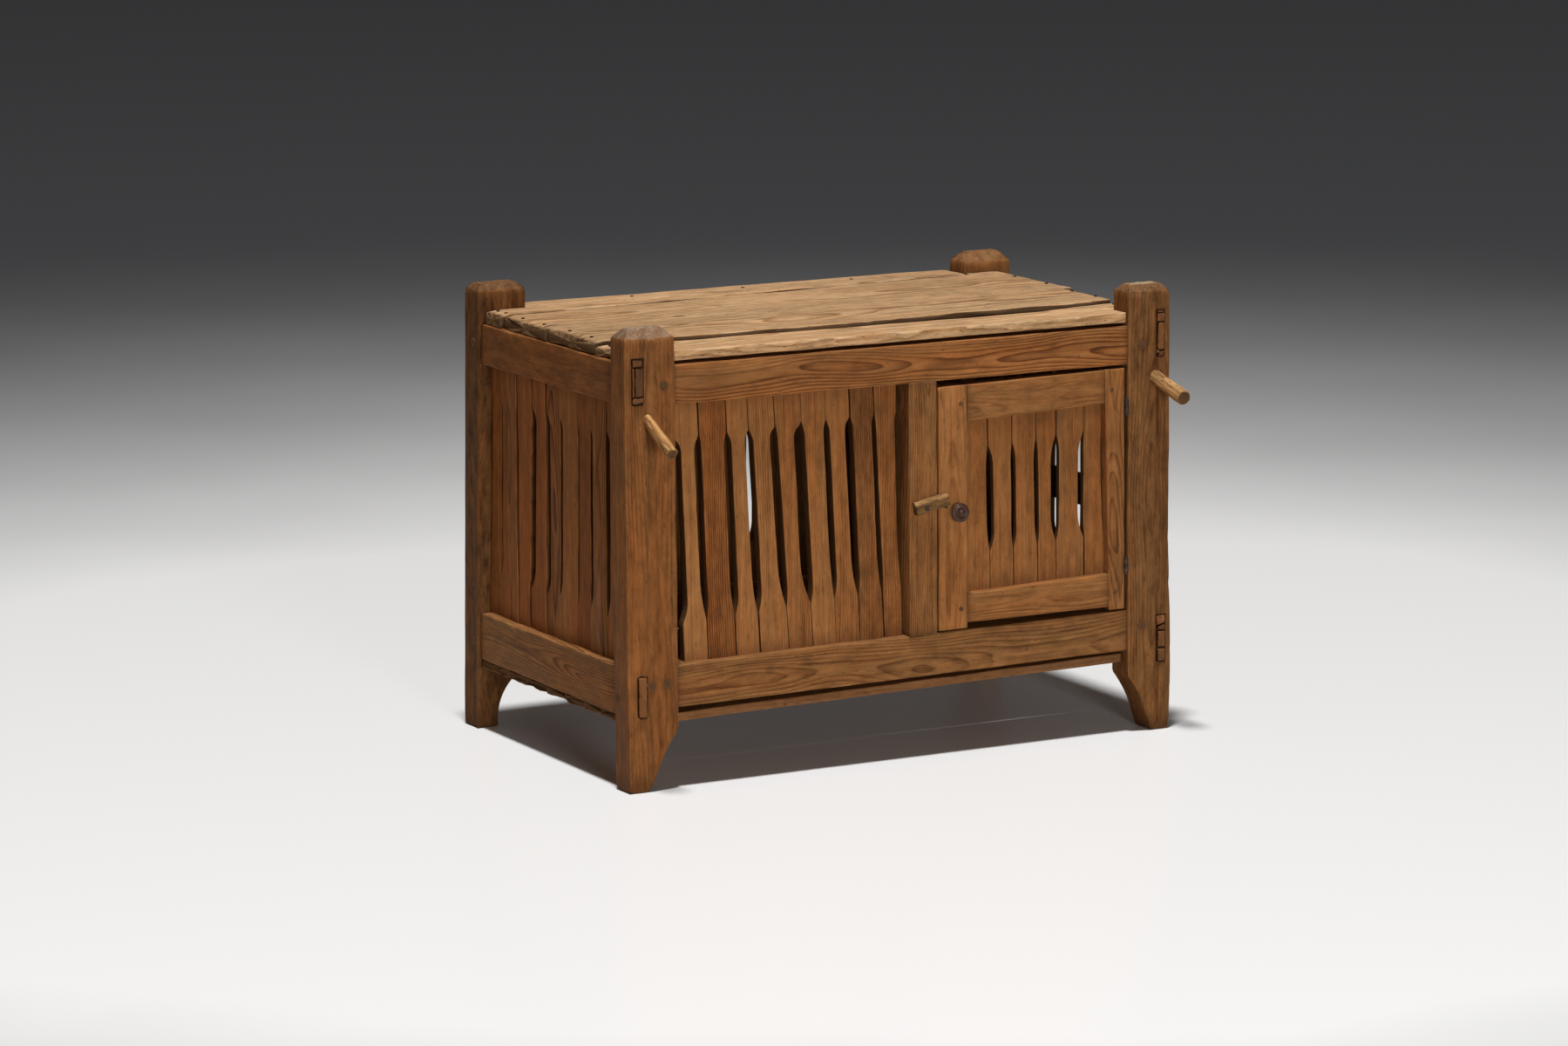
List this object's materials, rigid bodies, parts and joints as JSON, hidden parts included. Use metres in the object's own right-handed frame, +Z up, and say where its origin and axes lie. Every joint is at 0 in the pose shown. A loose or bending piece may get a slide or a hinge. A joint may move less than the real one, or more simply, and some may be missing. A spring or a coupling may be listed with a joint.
{
  "type": "slatted storage cabinet",
  "caption": "Low rustic wooden storage chest with waisted slats in its sides, a plank top on four posts, a hinged slatted door, a turn latch and hanging pegs.",
  "frame": {"origin": "middle of the base of the whole piece, on the floor, pegs included", "axes": "+X to the right seen from the front, +Y to the back, +Z up; the door and the pegs are on the -Y side"},
  "size_m": [1.0166, 0.7164, 0.7545],
  "materials": {
    "frame_wood": "old waxed pine, worn",
    "slat_wood": "old waxed pine, worn",
    "top_wood": "dry weathered pine",
    "floor_wood": "raw aged pine",
    "dowel_wood": "dark end grain",
    "peg_wood": "whittled, matte",
    "knob_wood": "dark turned wood, satin",
    "iron": "blackened, slightly rusted"
  },
  "bodies": {
    "carcass": {"back_left_post": "frame_wood", "back_lower_rail": "frame_wood", "back_right_post": "frame_wood", "back_slats": "slat_wood", "back_upper_rail": "frame_wood", "board_nails": "iron", "floor_boards": "floor_wood", "frame_dowels": "dowel_wood", "front_left_post": "frame_wood", "front_lower_rail": "frame_wood", "front_mullion": "frame_wood", "front_right_post": "frame_wood", "front_slat_1": "slat_wood", "front_slat_2": "slat_wood", "front_slat_3": "slat_wood", "front_slat_4": "slat_wood", "front_slat_5": "slat_wood", "front_slat_6": "slat_wood", "front_slat_7": "slat_wood", "front_slat_8": "slat_wood", "front_slat_9": "slat_wood", "front_upper_rail": "frame_wood", "hinge_post_screws": "iron", "latch_nail": "iron", "left_hanging_peg": "peg_wood", "left_lower_rail": "frame_wood", "left_slats": "slat_wood", "left_upper_rail": "frame_wood", "lower_hinge_pin": "iron", "lower_hinge_post_leaf": "iron", "right_hanging_peg": "peg_wood", "right_inner_batten": "frame_wood", "right_lower_rail": "frame_wood", "right_slats": "slat_wood", "right_upper_rail": "frame_wood", "tenon_wedges": "dowel_wood", "top_board_1": "top_wood", "top_board_2": "top_wood", "top_board_3": "top_wood", "top_board_4": "top_wood", "upper_hinge_pin": "iron", "upper_hinge_post_leaf": "iron"},
    "door": {"door_bottom_rail": "frame_wood", "door_dowels": "dowel_wood", "door_hinge_stile": "frame_wood", "door_knob": "knob_wood", "door_latch_stile": "frame_wood", "door_slat_1": "slat_wood", "door_slat_2": "slat_wood", "door_slat_3": "slat_wood", "door_slat_4": "slat_wood", "door_slat_5": "slat_wood", "door_slat_6": "slat_wood", "door_top_rail": "frame_wood", "hinge_door_screws": "iron", "latch_rest_nail": "iron", "lower_hinge_door_leaf": "iron", "upper_hinge_door_leaf": "iron"},
    "latch": {"turn_latch": "frame_wood"}
  },
  "joints": [
    {"name": "door_hinge", "type": "hinge", "parent": "carcass", "child": "door", "pos_m": [0.4115, -0.27094, 0.417], "axis": [0, 0, 1], "range_deg": [0, 105]},
    {"name": "latch_pivot", "type": "hinge", "parent": "carcass", "child": "latch", "pos_m": [0.0295, -0.27394, 0.4168], "axis": [0, -1, 0], "range_deg": [0, 180]}
  ]
}
